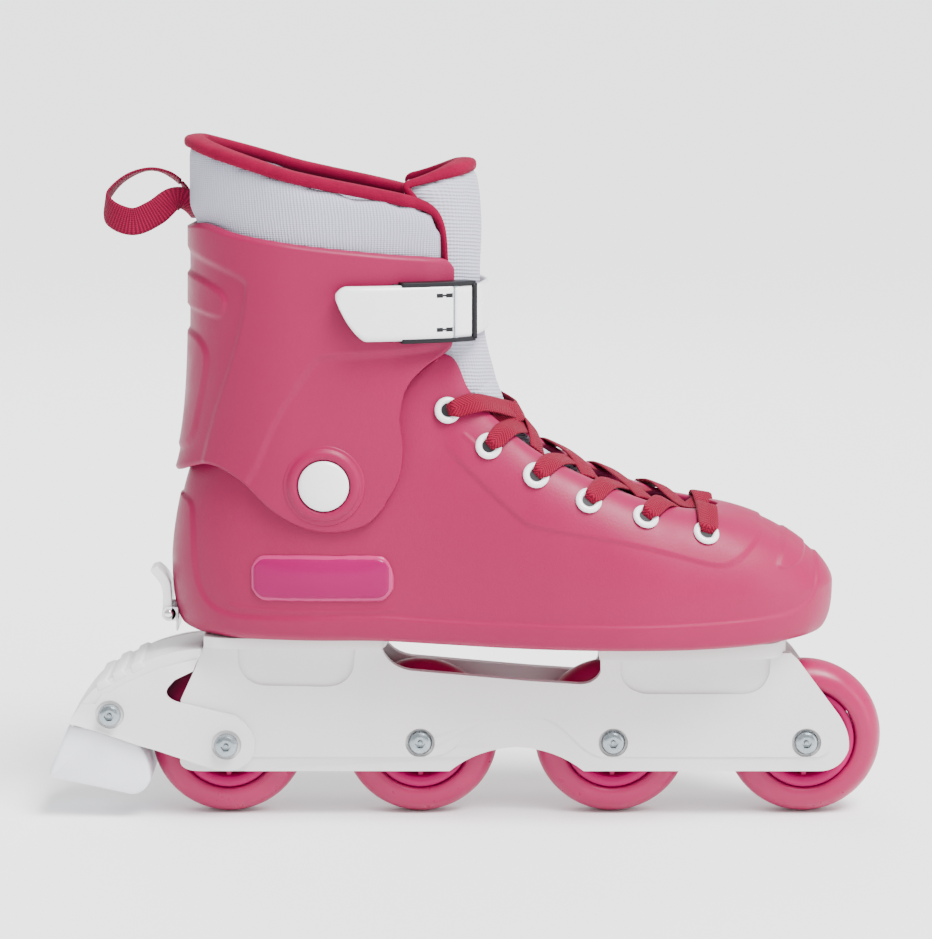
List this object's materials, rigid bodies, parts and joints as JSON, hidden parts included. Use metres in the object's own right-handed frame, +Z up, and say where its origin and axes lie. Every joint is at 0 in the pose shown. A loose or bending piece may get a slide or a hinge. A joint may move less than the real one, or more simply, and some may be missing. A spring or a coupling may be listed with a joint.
{
  "type": "in-line roller skate",
  "caption": "Right-foot in-line roller skate: hard boot with hinged cuff, padded liner, laces, lever buckle, wheel frame and heel brake.",
  "frame": {"origin": "on the ground under the middle of the whole skate's box", "axes": "+X towards the toe, +Y towards the inner side of the foot, +Z up"},
  "size_m": [0.385, 0.1028, 0.3135],
  "materials": {
    "shell_pink": "satin moulded",
    "liner_fabric": "ribbed mesh",
    "insole_foam": "foam",
    "red_webbing": "woven",
    "badge_gloss": "domed gloss",
    "white_plastic": "gloss",
    "frame_plastic": "satin",
    "black_plastic": "satin",
    "steel": "zinc plated",
    "bearing_steel": "dark",
    "chrome": "polished",
    "brake_rubber": "white rubber",
    "tyre_pink": "urethane",
    "hub_pink": "moulded"
  },
  "bodies": {
    "boot": {"boot_shell": "shell_pink", "liner_foot": "liner_fabric", "insole": "insole_foam", "tongue_foot": "liner_fabric", "lace": "red_webbing", "badge": "badge_gloss", "eyelet_row_lateral": "white_plastic", "eyelet_row_medial": "white_plastic", "ankle_pin_lateral": "steel", "ankle_pin_medial": "steel", "frame": "frame_plastic", "frame_bolt_heel": "steel", "frame_bolt_front": "steel", "brake_arm": "frame_plastic", "brake_pad": "brake_rubber", "brake_bolt": "steel", "brake_nut": "steel", "heel_lever_bracket": "white_plastic", "heel_lever_pin": "chrome", "axle_bolt_1": "steel", "axle_bolt_2": "steel", "axle_bolt_3": "steel", "axle_bolt_4": "steel", "axle_nut_1": "steel", "axle_nut_2": "steel", "axle_nut_3": "steel", "axle_nut_4": "steel"},
    "cuff": {"cuff": "shell_pink", "ankle_cap_lateral": "white_plastic", "ankle_cap_medial": "white_plastic", "liner_collar": "liner_fabric", "tongue_top": "liner_fabric", "pull_loop": "red_webbing", "strap": "white_plastic", "strap_screw": "steel", "buckle_base": "black_plastic", "buckle_pin": "steel"},
    "buckle_lever": {"buckle_lever": "white_plastic"},
    "heel_lever": {"heel_lever": "white_plastic"},
    "wheel_1": {"tyre_1": "tyre_pink", "hub_1": "hub_pink", "bearing_1_a": "bearing_steel", "bearing_1_b": "bearing_steel", "spacer_1": "steel"},
    "wheel_2": {"tyre_2": "tyre_pink", "hub_2": "hub_pink", "bearing_2_a": "bearing_steel", "bearing_2_b": "bearing_steel", "spacer_2": "steel"},
    "wheel_3": {"tyre_3": "tyre_pink", "hub_3": "hub_pink", "bearing_3_a": "bearing_steel", "bearing_3_b": "bearing_steel", "spacer_3": "steel"},
    "wheel_4": {"tyre_4": "tyre_pink", "hub_4": "hub_pink", "bearing_4_a": "bearing_steel", "bearing_4_b": "bearing_steel", "spacer_4": "steel"}
  },
  "joints": [
    {"name": "cuff_flex", "type": "hinge", "parent": "boot", "child": "cuff", "pos_m": [-0.064, 0, 0.16], "axis": [0, 1, 0], "range_deg": [-4, 10], "stiffness_Nm_per_rad": 8},
    {"name": "buckle_open", "type": "hinge", "parent": "cuff", "child": "buckle_lever", "pos_m": [-0.0052, -0.0388, 0.2378], "axis": [0, 0, 1], "range_deg": [0, 90]},
    {"name": "heel_lever_open", "type": "hinge", "parent": "boot", "child": "heel_lever", "pos_m": [-0.1371, 0, 0.0949], "axis": [0, -1, 0], "range_deg": [0, 90]},
    {"name": "wheel_1_spin", "type": "hinge", "parent": "boot", "child": "wheel_1", "pos_m": [0.1565, 0, 0.036], "axis": [0, 1, 0], "continuous": true},
    {"name": "wheel_2_spin", "type": "hinge", "parent": "boot", "child": "wheel_2", "pos_m": [0.0675, 0, 0.036], "axis": [0, 1, 0], "continuous": true},
    {"name": "wheel_3_spin", "type": "hinge", "parent": "boot", "child": "wheel_3", "pos_m": [-0.0215, 0, 0.036], "axis": [0, 1, 0], "continuous": true},
    {"name": "wheel_4_spin", "type": "hinge", "parent": "boot", "child": "wheel_4", "pos_m": [-0.1105, 0, 0.036], "axis": [0, 1, 0], "continuous": true}
  ]
}
